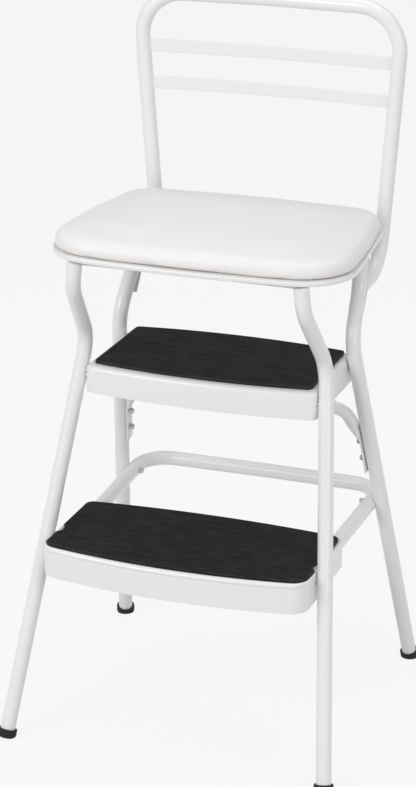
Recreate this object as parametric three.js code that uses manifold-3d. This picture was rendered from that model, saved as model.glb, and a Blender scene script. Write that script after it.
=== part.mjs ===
// A two-step stool chair of white steel tube: four splayed legs, two treads with rubber mats,
// a padded seat that lifts on a hinge at its rear edge, and a tube back with two slats.
// Millimetres, +Z up, +Y to the back of the chair. +X, and "right" in a name, is the right-hand
// side for someone who looks at the chair from the front.
import * as THREE from "three";
import { mergeVertices } from "three/addons/utils/BufferGeometryUtils.js";
import Module from "manifold-3d";

const wasm = await Module();
wasm.setup();

// Sizes that the whole chair shares
const tubeDiameter = 19;
const tubeWall = 1.2;
const tubeRadius = tubeDiameter / 2;
const sheet = 1.2;
const clearance = 0.3;
const overrun = 5;
const cutReach = 400;
const legBendRadius = 50;

// Leg lines, as places on the floor and at the bends, right-hand side
const frontFootX = 210.8;
const frontFootY = -193.2;
const frontKneeX = 156.6;
const frontKneeY = -36;
const frontKneeZ = 491;
const frontTopX = 144;
const frontTopY = -101;
const frontNeckZ = 575.6;
const rearFootX = 207.3;
const rearFootY = 204.2;
const rearKneeX = 156;
const rearKneeY = 69;
const rearKneeZ = 488;
const rearTopX = 152;
const rearTopY = 112;
const rearNeckZ = 545.3;
const legTopZ = 607.6;
const footEndZ = 4.5;

// Step plate levels: what is fixed to a step goes by a drop from its plate
const topPlateZ = 462;
const lowPlateZ = 253;

// Seat levels
const panFloorZ = 609;
const seamZ = 616;
const padEdgeZ = 636.5;
const padCrown = 6;

// Finishes
const finish = (color, roughness, metalness) =>
  new THREE.MeshStandardMaterial({ color, roughness, metalness });
const whiteEnamel = finish(0xe9e8e6, 0.35, 0.0);
const whiteVinyl = finish(0xf1efec, 0.45, 0.0);
const blackRubber = finish(0x1d1d1d, 0.85, 0.0);
const zincPlate = finish(0xb9b9b6, 0.3, 1.0);
const plywood = finish(0xb58f5f, 0.7, 0.0);

const chair = new THREE.Group();

function piece(name, geometry, material) {
  const mesh = new THREE.Mesh(geometry, material);
  mesh.name = name;
  chair.add(mesh);
  return mesh;
}

// A right-hand piece and its mirror image on the left
function pair(name, geometry, material) {
  piece(name + "_right", geometry, material);
  piece(name + "_left", geometry, material).scale.x = -1;
}

// Closed mesh to solid and back, for cuts and joins
function solid(geometry) {
  const plain = geometry.clone();
  plain.deleteAttribute("normal");
  plain.deleteAttribute("uv");
  const merged = mergeVertices(plain);
  return new wasm.Manifold(
    new wasm.Mesh({
      numProp: 3,
      vertProperties: merged.attributes.position.array,
      triVerts: new Uint32Array(merged.index.array),
    }),
  );
}

function geometryOf(body) {
  const mesh = body.getMesh();
  const points = new Float32Array(mesh.numVert * 3);
  for (let i = 0; i < mesh.numVert; i++) {
    points.set(mesh.vertProperties.subarray(i * mesh.numProp, i * mesh.numProp + 3), i * 3);
  }
  const geometry = new THREE.BufferGeometry();
  geometry.setAttribute("position", new THREE.BufferAttribute(points, 3));
  geometry.setIndex(new THREE.BufferAttribute(new Uint32Array(mesh.triVerts), 1));
  return geometry;
}

function cut(geometry, ...tools) {
  return geometryOf(tools.reduce((body, tool) => body.subtract(solid(tool)), solid(geometry)));
}

function join(geometry, ...others) {
  return geometryOf(others.reduce((body, other) => body.add(solid(other)), solid(geometry)));
}

// A box from one corner to the other
function block(x0, x1, y0, y1, z0, z1) {
  const box = new THREE.BoxGeometry(x1 - x0, y1 - y0, z1 - z0);
  return box.translate((x0 + x1) / 2, (y0 + y1) / 2, (z0 + z1) / 2);
}

// A round bar along X or along Y
function barAlongX(radius, x0, x1, y, z, sides = 8) {
  const bar = new THREE.CylinderGeometry(radius, radius, x1 - x0, sides);
  return bar.rotateZ(Math.PI / 2).translate((x0 + x1) / 2, y, z);
}

function barAlongY(radius, x, y0, y1, z, sides = 8) {
  const bar = new THREE.CylinderGeometry(radius, radius, y1 - y0, sides);
  return bar.translate(x, (y0 + y1) / 2, z);
}

function trimBelow(geometry, z) {
  return cut(geometry, block(-cutReach, cutReach, -cutReach, cutReach, z - cutReach, z));
}

// The centre line of a bent tube: straight runs between corners, each corner rounded by its
// own radius. Its stations are the rings of the tube, so straight runs cost nothing.
class BentLine extends THREE.Curve {
  constructor(corners, radii, ringsPerBend) {
    super();
    this.points = [corners[0].clone()];
    this.tangents = [corners[1].clone().sub(corners[0]).normalize()];
    for (let i = 1; i < corners.length - 1; i++) {
      const before = corners[i].clone().sub(corners[i - 1]).normalize();
      const after = corners[i + 1].clone().sub(corners[i]).normalize();
      const turn = before.angleTo(after);
      const reach = radii[i - 1] * Math.tan(turn / 2);
      const start = corners[i].clone().addScaledVector(before, -reach);
      const across = after.clone().addScaledVector(before, -after.dot(before)).normalize();
      const centre = start.clone().addScaledVector(across, radii[i - 1]);
      for (let k = 0; k <= ringsPerBend; k++) {
        const angle = (turn * k) / ringsPerBend;
        const out = across.clone().multiplyScalar(-Math.cos(angle) * radii[i - 1]);
        out.addScaledVector(before, Math.sin(angle) * radii[i - 1]);
        this.points.push(out.add(centre));
        const tangent = before.clone().multiplyScalar(Math.cos(angle));
        this.tangents.push(tangent.addScaledVector(across, Math.sin(angle)).normalize());
      }
    }
    this.points.push(corners.at(-1).clone());
    this.tangents.push(corners.at(-1).clone().sub(corners.at(-2)).normalize());
  }
  station(list, t) {
    return list[Math.round(t * (list.length - 1))].clone();
  }
  getPoint(t, target = new THREE.Vector3()) {
    return target.copy(this.station(this.points, t));
  }
  getPointAt(t, target) {
    return this.getPoint(t, target);
  }
  getTangentAt(t, target = new THREE.Vector3()) {
    return target.copy(this.station(this.tangents, t));
  }
}

const ringSides = 12;

function circle(radius, sides = ringSides) {
  return Array.from({ length: sides }, (_, i) => {
    const angle = (i / sides) * 2 * Math.PI;
    return new THREE.Vector2(Math.cos(angle) * radius, Math.sin(angle) * radius);
  });
}

// A hollow tube along rounded corners
function bentTube(corners, radii, { radius = tubeRadius, wall = tubeWall, rings = 4 } = {}) {
  const line = new BentLine(corners, radii, rings);
  const section = new THREE.Shape(circle(radius));
  section.holes.push(new THREE.Path(circle(radius - wall)));
  return new THREE.ExtrudeGeometry(section, { steps: line.points.length - 1, extrudePath: line });
}

const at = (x, y, z) => new THREE.Vector3(x, y, z);

// Place on a leg's straight lower run, at a height
const share = (z, z0, z1) => (z - z0) / (z1 - z0);
const frontLegX = (z) => THREE.MathUtils.lerp(frontFootX, frontKneeX, share(z, 0, frontKneeZ));
const frontLegY = (z) => THREE.MathUtils.lerp(frontFootY, frontKneeY, share(z, 0, frontKneeZ));
const rearLegX = (z) => THREE.MathUtils.lerp(rearFootX, rearKneeX, share(z, 0, rearKneeZ));
const rearLegY = (z) => THREE.MathUtils.lerp(rearFootY, rearKneeY, share(z, 0, rearKneeZ));

// A quarter turn of places [radius, height], from the rim of a dome almost to its crown
function domePlaces(radius, base, rise, steps = 3) {
  return Array.from({ length: steps }, (_, i) => {
    const angle = (i / steps) * (Math.PI / 2);
    return [radius * Math.cos(angle), base + rise * Math.sin(angle)];
  });
}

// Turned about X from a profile of [radius, height] places, its heights running to -X
function turnedToLeft(profile, x, y, z, sides = 8) {
  const turned = new THREE.LatheGeometry(profile.map(([r, h]) => new THREE.Vector2(r, h)), sides);
  return turned.rotateZ(Math.PI / 2).translate(x, y, z);
}

// Capped bolts: a hexagon with a domed cap on the inner side of the joint, and a shank that
// ends inside the leg
const boltRadius = 2.5;
const boltHoleRadius = boltRadius + clearance;
const hexAcross = 8;
const hexRadius = hexAcross / 2 / Math.cos(Math.PI / 6);
const hexHeight = 2.6;
const capHeight = 2.4;

function cappedBolt(seatX, endX, y, z) {
  const hex = new THREE.CylinderGeometry(hexRadius, hexRadius, hexHeight, 6);
  hex.rotateZ(Math.PI / 2).translate(seatX - hexHeight / 2, y, z);
  const profile = [
    [0, seatX - endX],
    [boltRadius, seatX - endX],
    [boltRadius, hexHeight / 2],
    ...domePlaces(hexAcross / 2, hexHeight, capHeight),
    [0, hexHeight + capHeight],
  ];
  return join(hex, turnedToLeft(profile, seatX, y, z));
}

// Legs
const topBoltDrop = 16;
const braceUpperBoltDrop = 122;
const braceLowerBoltDrop = 147;
const barBoltDrop = 7.5;
const stepBoltDrop = 14;
const topBoltZ = topPlateZ - topBoltDrop;
const braceUpperBoltZ = topPlateZ - braceUpperBoltDrop;
const braceLowerBoltZ = topPlateZ - braceLowerBoltDrop;
const braceBoltZs = [braceUpperBoltZ, braceLowerBoltZ];
const barBoltZ = lowPlateZ - barBoltDrop;
const stepBoltZ = lowPlateZ - stepBoltDrop;
const backStudX = 151;
const backStudZ = 543;

// Half the width of a leaning tube, measured level along X
const leanRadius = (footX, kneeX, kneeZ) => tubeRadius / Math.cos(Math.atan2(footX - kneeX, kneeZ));
const frontReach = leanRadius(frontFootX, frontKneeX, frontKneeZ);
const rearReach = leanRadius(rearFootX, rearKneeX, rearKneeZ);

// A hole through a leg's inner wall, or right through a thinner piece
function boltHole(centreX, y, z) {
  return barAlongX(boltHoleRadius, centreX - tubeDiameter, centreX, y, z);
}

function throughHole(centreX, y, z) {
  return barAlongX(boltHoleRadius, centreX - tubeDiameter, centreX + tubeDiameter, y, z);
}

// A disc in a tube's end, a little way in, that closes it
function endDisc(neck, end) {
  const radius = tubeRadius - tubeWall / 2;
  const disc = new THREE.CylinderGeometry(radius, radius, sheet, ringSides);
  const along = end.clone().sub(neck).normalize();
  disc.applyQuaternion(new THREE.Quaternion().setFromUnitVectors(at(0, 1, 0), along));
  const middle = end.clone().addScaledVector(along, -clearance - sheet / 2);
  return disc.translate(middle.x, middle.y, middle.z);
}

// The front legs' tops stand in front of the pan's rounded corners, and are closed
function frontLeg() {
  const neckX = THREE.MathUtils.lerp(frontKneeX, frontTopX, share(frontNeckZ, frontKneeZ, legTopZ));
  const neck = at(neckX, frontTopY, frontNeckZ);
  const top = at(frontTopX, frontTopY, legTopZ);
  const tube = bentTube(
    [
      at(frontLegX(footEndZ), frontLegY(footEndZ), footEndZ),
      at(frontKneeX, frontKneeY, frontKneeZ),
      neck,
      top,
    ],
    legRadii,
  );
  const heights = [stepBoltZ, topBoltZ];
  const holes = heights.map((z) => boltHole(frontLegX(z), frontLegY(z), z));
  return cut(join(tube, endDisc(neck, top)), ...holes);
}

const rearLegCorners = [
  at(rearLegX(footEndZ), rearLegY(footEndZ), footEndZ),
  at(rearKneeX, rearKneeY, rearKneeZ),
  at(rearTopX, rearTopY, rearNeckZ),
  at(rearTopX, rearTopY, legTopZ),
];
const legRadii = [legBendRadius, legBendRadius];

function rearLeg() {
  const tube = bentTube(rearLegCorners, legRadii);
  const heights = [barBoltZ, topBoltZ, ...braceBoltZs];
  const across = heights.map((z) => boltHole(rearLegX(z), rearLegY(z), z));
  const studHole = barAlongY(boltHoleRadius, backStudX, rearTopY, rearTopY + tubeDiameter, backStudZ);
  return cut(tube, ...across, studHole);
}

pair("front_leg", frontLeg(), whiteEnamel);
pair("rear_leg", rearLeg(), whiteEnamel);

// Foot caps: rubber cups in line with each leg, flat where they meet the floor
const capWall = 2.4;
const capBottom = 6;
const capCover = 6;
const capRound = 4;

function footCap(foot, knee) {
  const inner = tubeRadius + clearance;
  const outer = inner + capWall;
  const roundSteps = 3;
  const rounding = Array.from({ length: roundSteps + 1 }, (_, i) => {
    const angle = (i / roundSteps) * (Math.PI / 2);
    return [
      outer - capRound + capRound * Math.sin(angle),
      -capBottom + capRound - capRound * Math.cos(angle),
    ];
  });
  const profile = [
    [0, -capBottom],
    ...rounding,
    [outer, capCover],
    [inner, capCover],
    [inner, -clearance],
    [0, -clearance],
  ];
  const cup = new THREE.LatheGeometry(profile.map(([r, h]) => new THREE.Vector2(r, h)), 20);
  const up = knee.clone().sub(foot).normalize();
  cup.applyQuaternion(new THREE.Quaternion().setFromUnitVectors(at(0, 1, 0), up));
  cup.translate(foot.x, foot.y, foot.z);
  return trimBelow(cup, 0);
}

const frontFootEnd = at(frontLegX(footEndZ), frontLegY(footEndZ), footEndZ);
const rearFootEnd = at(rearLegX(footEndZ), rearLegY(footEndZ), footEndZ);
pair("front_foot_cap", footCap(frontFootEnd, at(frontKneeX, frontKneeY, frontKneeZ)), blackRubber);
pair("rear_foot_cap", footCap(rearFootEnd, at(rearKneeX, rearKneeY, rearKneeZ)), blackRubber);

// A four-cornered plan, symmetrical left to right, with rounded corners and bowed edges.
// A bow pushes the middle of an edge out; an inset draws the whole plan in.
function plan(sizes, inset = 0) {
  const { frontBow = 0, rearBow = 0, sideBow = 0 } = sizes;
  const fx = sizes.frontHalf - inset;
  const rx = sizes.rearHalf - inset;
  const fy = sizes.frontY + inset;
  const ry = sizes.rearY - inset;
  const frontRound = Math.max(sizes.frontRound - inset, sheet);
  const rearRound = Math.max(sizes.rearRound - inset, sheet);
  const bowAt = (bow, offset, half) => bow * (1 - (offset / half) ** 2);
  const frontAt = (x) => fy - bowAt(frontBow, x, fx);
  const rearAt = (x) => ry + bowAt(rearBow, x, rx);
  const sideX = (y) => THREE.MathUtils.lerp(fx, rx, (y - fy) / (ry - fy));
  const shape = new THREE.Shape();
  // A bowed edge to (x, y) through the middle place, and a rounded corner past (cx, cy)
  const bowed = (x, y, midX, midY) => {
    const from = shape.currentPoint;
    shape.quadraticCurveTo(2 * midX - (from.x + x) / 2, 2 * midY - (from.y + y) / 2, x, y);
  };
  const corner = (cx, cy, x, y) => {
    const roundShare = 0.55;
    const { lerp } = THREE.MathUtils;
    const from = shape.currentPoint;
    const leaving = [lerp(from.x, cx, roundShare), lerp(from.y, cy, roundShare)];
    const arriving = [lerp(x, cx, roundShare), lerp(y, cy, roundShare)];
    shape.bezierCurveTo(...leaving, ...arriving, x, y);
  };
  const frontEnd = fx - frontRound;
  const rearEnd = rx - rearRound;
  const sideFront = fy + frontRound;
  const sideRear = ry - rearRound;
  const sideMid = (sideFront + sideRear) / 2;
  shape.moveTo(-frontEnd, frontAt(frontEnd));
  bowed(frontEnd, frontAt(frontEnd), 0, frontAt(0));
  corner(fx, fy, sideX(sideFront), sideFront);
  bowed(sideX(sideRear), sideRear, sideX(sideMid) + sideBow, sideMid);
  corner(rx, ry, rearEnd, rearAt(rearEnd));
  bowed(-rearEnd, rearAt(rearEnd), 0, rearAt(0));
  corner(-rx, ry, -sideX(sideRear), sideRear);
  bowed(-sideX(sideFront), sideFront, -sideX(sideMid) - sideBow, sideMid);
  corner(-fx, fy, -frontEnd, frontAt(frontEnd));
  return shape;
}

const planSegments = 6;

function slab(shape, bottom, top) {
  const options = { depth: top - bottom, bevelEnabled: false, curveSegments: planSegments };
  return new THREE.ExtrudeGeometry(shape, options).translate(0, 0, bottom);
}

// A slab whose top edge is rounded
function roundTopped(shape, bottom, top, rounding, segments = 3) {
  const geometry = new THREE.ExtrudeGeometry(shape, {
    depth: top - bottom,
    bevelThickness: rounding,
    bevelSize: rounding,
    bevelOffset: -rounding,
    bevelSegments: segments,
    curveSegments: planSegments,
  });
  return geometry.translate(0, 0, bottom - rounding);
}

// A pressed tray, open below: a plate with a rounded edge and skirts all round
function tray(sizes, skirtZ, plateZ, rounding) {
  const outer = trimBelow(roundTopped(plan(sizes), skirtZ, plateZ, rounding), skirtZ);
  const innerRound = Math.max(rounding - sheet, sheet);
  const inner = roundTopped(plan(sizes, sheet), skirtZ - overrun, plateZ - sheet, innerRound);
  return cut(outer, inner);
}

// Top step
const topSkirtDepth = 35;
const topMatThickness = 4;
const topRound = 6;
const topSkirtZ = topPlateZ - topSkirtDepth;
const topSideTouchZ = topPlateZ - topRound - sheet;
const topFrontHalf = frontLegX(topSideTouchZ) - frontReach - clearance;
const topRearHalf = rearLegX(topSideTouchZ) - rearReach - clearance;
const topFrontY = -60;
const topRearY = 98.7;
const topFrontBow = 12;
const topRearBow = 11;
const topFrontRound = 8;
const topRearRound = 10;
const topSizes = {
  frontHalf: topFrontHalf,
  rearHalf: topRearHalf,
  frontY: topFrontY,
  rearY: topRearY,
  frontBow: topFrontBow,
  rearBow: topRearBow,
  frontRound: topFrontRound,
  rearRound: topRearRound,
};
const topMatSideInset = 8.8;
const topMatFrontInset = 10.3;
const topMatRearInset = 6;
const topMatRound = 5;
const topMatSizes = {
  frontHalf: topFrontHalf - topMatSideInset,
  rearHalf: topRearHalf - topMatSideInset,
  frontY: topFrontY + topMatFrontInset,
  rearY: topRearY - topMatRearInset,
  frontBow: topFrontBow,
  rearBow: topRearBow,
  frontRound: topMatRound,
  rearRound: topMatRound,
};

// The inner face of a tray's side skirt
function wallInside(sizes, y) {
  const along = share(y, sizes.frontY, sizes.rearY);
  return THREE.MathUtils.lerp(sizes.frontHalf, sizes.rearHalf, along) - sheet;
}

// Cutting pieces for the right-hand side, and the same ones mirrored to the left
function bothSides(holes) {
  return holes.flatMap((hole) => {
    const other = hole.clone().applyMatrix4(new THREE.Matrix4().makeScale(-1, 1, 1));
    const order = other.index.array;
    for (let i = 0; i < order.length; i += 3) {
      [order[i + 1], order[i + 2]] = [order[i + 2], order[i + 1]];
    }
    return [hole, other];
  });
}

function wallHole(sizes, y, z) {
  const x = wallInside(sizes, y);
  return barAlongX(boltHoleRadius, x - overrun, x + overrun, y, z);
}

const topBoltY = frontLegY(topBoltZ);
const topRearBoltY = rearLegY(topBoltZ);
const braceRivetY = -28;
const braceRivetDrop = 18;
const braceRivetZ = topPlateZ - braceRivetDrop;
piece(
  "top_step_tray",
  cut(
    tray(topSizes, topSkirtZ, topPlateZ, topRound),
    ...bothSides([
      wallHole(topSizes, topBoltY, topBoltZ),
      wallHole(topSizes, topRearBoltY, topBoltZ),
      wallHole(topSizes, braceRivetY, braceRivetZ),
    ]),
  ),
  whiteEnamel,
);

const matRound = 1;

function mat(shape, bottom, thickness) {
  return trimBelow(roundTopped(shape, bottom, bottom + thickness, matRound, 1), bottom);
}

piece(
  "top_step_mat",
  mat(plan(topMatSizes), topPlateZ + clearance, topMatThickness - clearance),
  blackRubber,
);

// Lower step: its plate is sunk behind a rolled front bead, and the mat lies in it
const lowSkirtDepth = 36.6;
const lowMatThickness = 4;
const beadRise = 3;
const beadWidth = 8;
const lowRound = 5;
const lowSkirtZ = lowPlateZ - lowSkirtDepth;
const lowRimZ = lowPlateZ + beadRise;
const lowHalf = frontLegX(lowRimZ) - frontReach - clearance;
const lowFrontY = -161.2;
const lowRearY = -2.6;
const lowFrontBow = 18;
const lowRearBow = 4;
const lowFrontRound = 20;
const lowRearRound = 8;
const lowSizes = {
  frontHalf: lowHalf,
  rearHalf: lowHalf,
  frontY: lowFrontY,
  rearY: lowRearY,
  frontBow: lowFrontBow,
  rearBow: lowRearBow,
  frontRound: lowFrontRound,
  rearRound: lowRearRound,
};
const lowSideLip = 2.8;
const lowMatFrontBow = 16;
const lowMatRearY = -10.1;
const lowMatRearBow = 10;
const lowMatRearRound = 9;
const lowMatSizes = {
  frontHalf: lowHalf - lowSideLip,
  rearHalf: lowHalf - lowSideLip,
  frontY: lowFrontY + beadWidth,
  rearY: lowMatRearY,
  frontBow: lowMatFrontBow,
  rearBow: lowMatRearBow,
  frontRound: lowFrontRound - beadWidth,
  rearRound: lowMatRearRound,
};
const matNotchDepth = 5;
const matNotchFrontY = -114.5;
const matNotchRearY = -91.5;
const stepBoltY = frontLegY(stepBoltZ);
const barBoltY = rearLegY(barBoltZ);
const armX = lowHalf - sheet - clearance - tubeRadius;
const saddleDepth = 3.4;
const armAtLegX = rearLegX(barBoltZ) - rearReach - clearance - tubeRadius + saddleDepth;
const armFrontY = stepBoltY - tubeRadius - sheet;

// Place on the rear bar's arm, which spreads and rises a little from the step to the rear leg
const armXAt = (y) => THREE.MathUtils.lerp(armX, armAtLegX, share(y, lowRearY, barBoltY));
const armZAt = (y) => THREE.MathUtils.lerp(stepBoltZ, barBoltZ, share(y, stepBoltY, barBoltY));

function lowerTray() {
  const outer = trimBelow(roundTopped(plan(lowSizes), lowSkirtZ, lowRimZ, lowRound), lowSkirtZ);
  const well = slab(plan(lowMatSizes, -clearance), lowPlateZ, lowRimZ + overrun);
  const wellHalf = lowHalf - lowSideLip;
  const wellRearY = lowRearY + lowRearBow + overrun;
  const backFrontY = lowRearY - lowRearRound;
  const wellTop = lowRimZ + overrun;
  const openBack = block(-wellHalf, wellHalf, backFrontY, wellRearY, lowPlateZ, wellTop);
  const inner = roundTopped(plan(lowSizes, sheet), lowSkirtZ - overrun, lowPlateZ - sheet, sheet);
  const slotLeft = armX - tubeRadius - overrun;
  const slotRight = armX + tubeRadius + clearance;
  const slotTop = armZAt(lowRearY) + tubeRadius + clearance;
  const armSlot = block(slotLeft, slotRight, backFrontY, wellRearY, lowSkirtZ - overrun, slotTop);
  const holes = bothSides([wallHole(lowSizes, stepBoltY, stepBoltZ), armSlot]);
  return cut(outer, well, openBack, inner, ...holes);
}

function lowerMat() {
  const side = lowMatSizes.frontHalf;
  const above = lowPlateZ + lowMatThickness + overrun;
  const notch = block(side - matNotchDepth, side + overrun, matNotchFrontY, matNotchRearY, lowSkirtZ, above);
  return cut(mat(plan(lowMatSizes), lowPlateZ + clearance, lowMatThickness), ...bothSides([notch]));
}

piece("lower_step_tray", lowerTray(), whiteEnamel);
piece("lower_step_mat", lowerMat(), blackRubber);

// Lower rear bar: runs back from the lower step, past the rear legs, and round behind them
const barBackY = 189;
const barBow = 2;
const barCorner = 40;
const barBowRadius = 600;

// What a rear leg takes out of the bar's arm, which sits over the leg in a saddle
function saddle() {
  const sides = 24;
  const radius = (tubeRadius + clearance) / Math.cos(Math.PI / sides);
  const length = 6 * tubeDiameter;
  const foot = at(rearFootX, rearFootY, 0);
  const along = at(rearKneeX, rearKneeY, rearKneeZ).sub(foot).normalize();
  const leg = new THREE.CylinderGeometry(radius, radius, length, sides);
  leg.applyQuaternion(new THREE.Quaternion().setFromUnitVectors(at(0, 1, 0), along));
  return leg.translate(rearLegX(barBoltZ), rearLegY(barBoltZ), barBoltZ);
}

function lowerBar() {
  const armPlace = (y) => at(armXAt(y), y, armZAt(y));
  const right = [armPlace(barBackY), armPlace(armFrontY)];
  const left = right.map((p) => at(-p.x, p.y, p.z)).reverse();
  const middle = at(0, barBackY + barBow, armZAt(barBackY));
  const radii = [barCorner, barBowRadius, barCorner];
  const tube = bentTube([...left, middle, ...right], radii, { rings: 6 });
  const holes = [
    throughHole(armAtLegX, barBoltY, barBoltZ),
    throughHole(armXAt(stepBoltY), stepBoltY, stepBoltZ),
    saddle(),
  ];
  return cut(tube, ...bothSides(holes));
}

piece("lower_rear_bar", lowerBar(), whiteEnamel);

// Step braces: a tube under each side of the top step, pressed flat at both ends
const braceRadius = 8;
const braceFlat = 2.8;
const braceFlatWidth = 17;
const braceTipDrop = 165;
const braceFlatTopDrop = 116;
const braceUnderY = 52;
const braceUnderDrop = 58;
const braceTipZ = topPlateZ - braceTipDrop;
const braceFlatTopZ = topPlateZ - braceFlatTopDrop;
const braceUnderZ = topPlateZ - braceUnderDrop;
const braceSides = 12;
const braceFootX = (z) => rearLegX(z) - rearReach - clearance - braceFlat / 2;

// Shares of the bend from the rear leg to the step, and of the run under the step to its rivet.
// The last number is how far the tube is pressed flat: 1 is flat, 0 is round.
const braceBendShares = [
  [0.3, 0.13, 0.25, 0.45],
  [0.47, 0.24, 0.43, 0],
  [0.67, 0.43, 0.67, 0],
  [0.87, 0.68, 0.84, 0],
];
const braceRunShares = [
  [0, 0, 0],
  [0.28, 0.32, 0],
  [0.55, 0.65, 0.05],
  [0.73, 0.84, 0.6],
  [0.84, 0.93, 1],
  [1, 1, 1],
  [1.12, 1.03, 1],
];

function bracePlaces() {
  const { lerp } = THREE.MathUtils;
  const onLeg = (z) => ({ centre: at(braceFootX(z), rearLegY(z), z), flat: 1 });
  const underStep = (along, rise, flat) => {
    const y = lerp(braceUnderY, braceRivetY, along);
    const halfThick = lerp(braceRadius, braceFlat / 2, flat);
    const x = wallInside(topSizes, y) - clearance - halfThick;
    return { centre: at(x, y, lerp(braceUnderZ, braceRivetZ, rise)), flat };
  };
  const run = braceRunShares.map((shares) => underStep(...shares));
  const legEnd = onLeg(braceFlatTopZ).centre;
  const stepEnd = run[0].centre;
  const bend = braceBendShares.map(([sx, sy, sz, flat]) => ({
    centre: at(lerp(legEnd.x, stepEnd.x, sx), lerp(legEnd.y, stepEnd.y, sy), lerp(legEnd.z, stepEnd.z, sz)),
    flat,
  }));
  return [onLeg(braceTipZ), onLeg(braceFlatTopZ), ...bend, ...run];
}

// A closed skin over rings of points, each ring with the same number of them
function loft(rings) {
  const sides = rings[0].length;
  const positions = rings.flat().flatMap((p) => [p.x, p.y, p.z]);
  const index = [];
  for (let i = 0; i < rings.length - 1; i++) {
    for (let k = 0; k < sides; k++) {
      const a = i * sides + k;
      const b = i * sides + ((k + 1) % sides);
      index.push(a, b, a + sides, b, b + sides, a + sides);
    }
  }
  const addEnd = (ring, base, flip) => {
    const middle = ring.reduce((sum, p) => sum.add(p), at(0, 0, 0)).divideScalar(sides);
    const hub = positions.length / 3;
    positions.push(middle.x, middle.y, middle.z);
    for (let k = 0; k < sides; k++) {
      const next = (k + 1) % sides;
      index.push(hub, base + (flip ? next : k), base + (flip ? k : next));
    }
  };
  addEnd(rings[0], 0, true);
  addEnd(rings.at(-1), (rings.length - 1) * sides, false);
  const geometry = new THREE.BufferGeometry();
  geometry.setAttribute("position", new THREE.Float32BufferAttribute(positions, 3));
  geometry.setIndex(index);
  return geometry;
}

function brace() {
  const places = bracePlaces();
  const rings = places.map(({ centre, flat }, i) => {
    const before = places[Math.max(i - 1, 0)].centre;
    const after = places[Math.min(i + 1, places.length - 1)].centre;
    const tangent = after.clone().sub(before).normalize();
    const thick = at(1, 0, 0).addScaledVector(tangent, -tangent.x).normalize();
    const wide = new THREE.Vector3().crossVectors(tangent, thick);
    const halfThick = THREE.MathUtils.lerp(braceRadius, braceFlat / 2, flat);
    const halfWide = THREE.MathUtils.lerp(braceRadius, braceFlatWidth / 2, flat);
    const flatPower = 0.35;
    const square = THREE.MathUtils.lerp(1, flatPower, flat);
    return circle(1, braceSides).map((p) => {
      const x = Math.sign(p.x) * Math.abs(p.x) ** square;
      const y = Math.sign(p.y) * Math.abs(p.y) ** square;
      return centre.clone().addScaledVector(thick, x * halfThick).addScaledVector(wide, y * halfWide);
    });
  });
  const holes = braceBoltZs.map((z) => throughHole(braceFootX(z), rearLegY(z), z));
  return cut(loft(rings), ...holes, throughHole(topFrontHalf, braceRivetY, braceRivetZ));
}

pair("step_brace", brace(), whiteEnamel);

// Seat frame: flat rails welded between the leg tops, which the seat rests on
const railWidth = 18;
const railDepth = 3.6;
const railDrop = 1.9;
const railTopZ = legTopZ - railDrop;
const railBottomZ = railTopZ - railDepth;
const frontRailBackY = frontTopY + tubeRadius + clearance + railWidth;
const frontRailFrontY = frontRailBackY - railWidth;
const rearRailFrontY = rearTopY - tubeRadius - clearance - railWidth;
const rearRailReach = frontTopX + tubeRadius;
const sideRailX = 128;

function rail(x0, x1, y0, y1) {
  const shape = new THREE.Shape();
  shape.moveTo(x0, y0);
  shape.lineTo(x1, y0);
  shape.lineTo(x1, y1);
  shape.lineTo(x0, y1);
  const geometry = new THREE.ExtrudeGeometry(shape, {
    depth: railDepth - 2 * sheet,
    bevelThickness: sheet,
    bevelSize: sheet,
    bevelOffset: -sheet,
    bevelSegments: 1,
  });
  return geometry.translate(0, 0, railBottomZ + sheet);
}

const rearRailBackY = rearRailFrontY + railWidth;
const frontRail = rail(-frontTopX, frontTopX, frontRailFrontY, frontRailBackY);
const rearRail = rail(-rearRailReach, rearRailReach, rearRailFrontY, rearRailBackY);
piece("front_seat_rail", frontRail, whiteEnamel);
piece("rear_seat_rail", rearRail, whiteEnamel);

function sideRail() {
  const half = railWidth / 2;
  const front = frontRailBackY + clearance;
  return rail(sideRailX - half, sideRailX + half, front, rearRailFrontY - clearance);
}

pair("side_seat_rail", sideRail(), whiteEnamel);

// Rest bumpers: rubber buttons on the front rail, under the seat pan
const bumperRadius = 8;
const bumperX = 100;
const bumperRound = 1;

function bumper() {
  const bottom = railTopZ + clearance;
  const top = panFloorZ - clearance;
  const profile = [
    [0, bottom],
    [bumperRadius, bottom],
    [bumperRadius, top - bumperRound],
    [bumperRadius - bumperRound, top],
    [0, top],
  ];
  const button = new THREE.LatheGeometry(profile.map(([r, z]) => new THREE.Vector2(r, z)), 16);
  return button.rotateX(Math.PI / 2).translate(bumperX, frontRailFrontY + railWidth / 2, 0);
}

pair("seat_bumper", bumper(), blackRubber);

// Hinge bracket: a strip behind each rear leg with an ear for the hinge pin at its top
const hingeY = 140;
const hingeZ = 600;
const pinRadius = 3;
const pinHoleRadius = pinRadius + clearance;
const pinHeadRadius = 5;
const pinHeadHeight = 2;
const bracketThickness = 2;
const bracketWidth = 17;
const bracketBottomZ = 510;
const bracketTopZ = railTopZ - clearance;
const bracketFrontY = rearTopY + tubeRadius + clearance;
const bracketBackY = bracketFrontY + bracketThickness;
const bracketRootY = (bracketFrontY + bracketBackY) / 2;
const earThickness = 3;
const earRadius = 8.2;
const bracketEarX = rearTopX - bracketWidth / 2 + earThickness / 2;

// An upright plate across X, from a side outline of [y, z] places
function sidePlate(outline, x, thickness) {
  const shape = new THREE.Shape(outline.map(([y, z]) => new THREE.Vector2(y, z)));
  const plate = new THREE.ExtrudeGeometry(shape, { depth: thickness, bevelEnabled: false });
  // Shape X becomes Y, shape Y becomes Z, depth becomes X
  plate.applyMatrix4(new THREE.Matrix4().makeBasis(at(0, 1, 0), at(0, 0, 1), at(1, 0, 0)));
  return plate.translate(x - thickness / 2, 0, 0);
}

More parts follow.
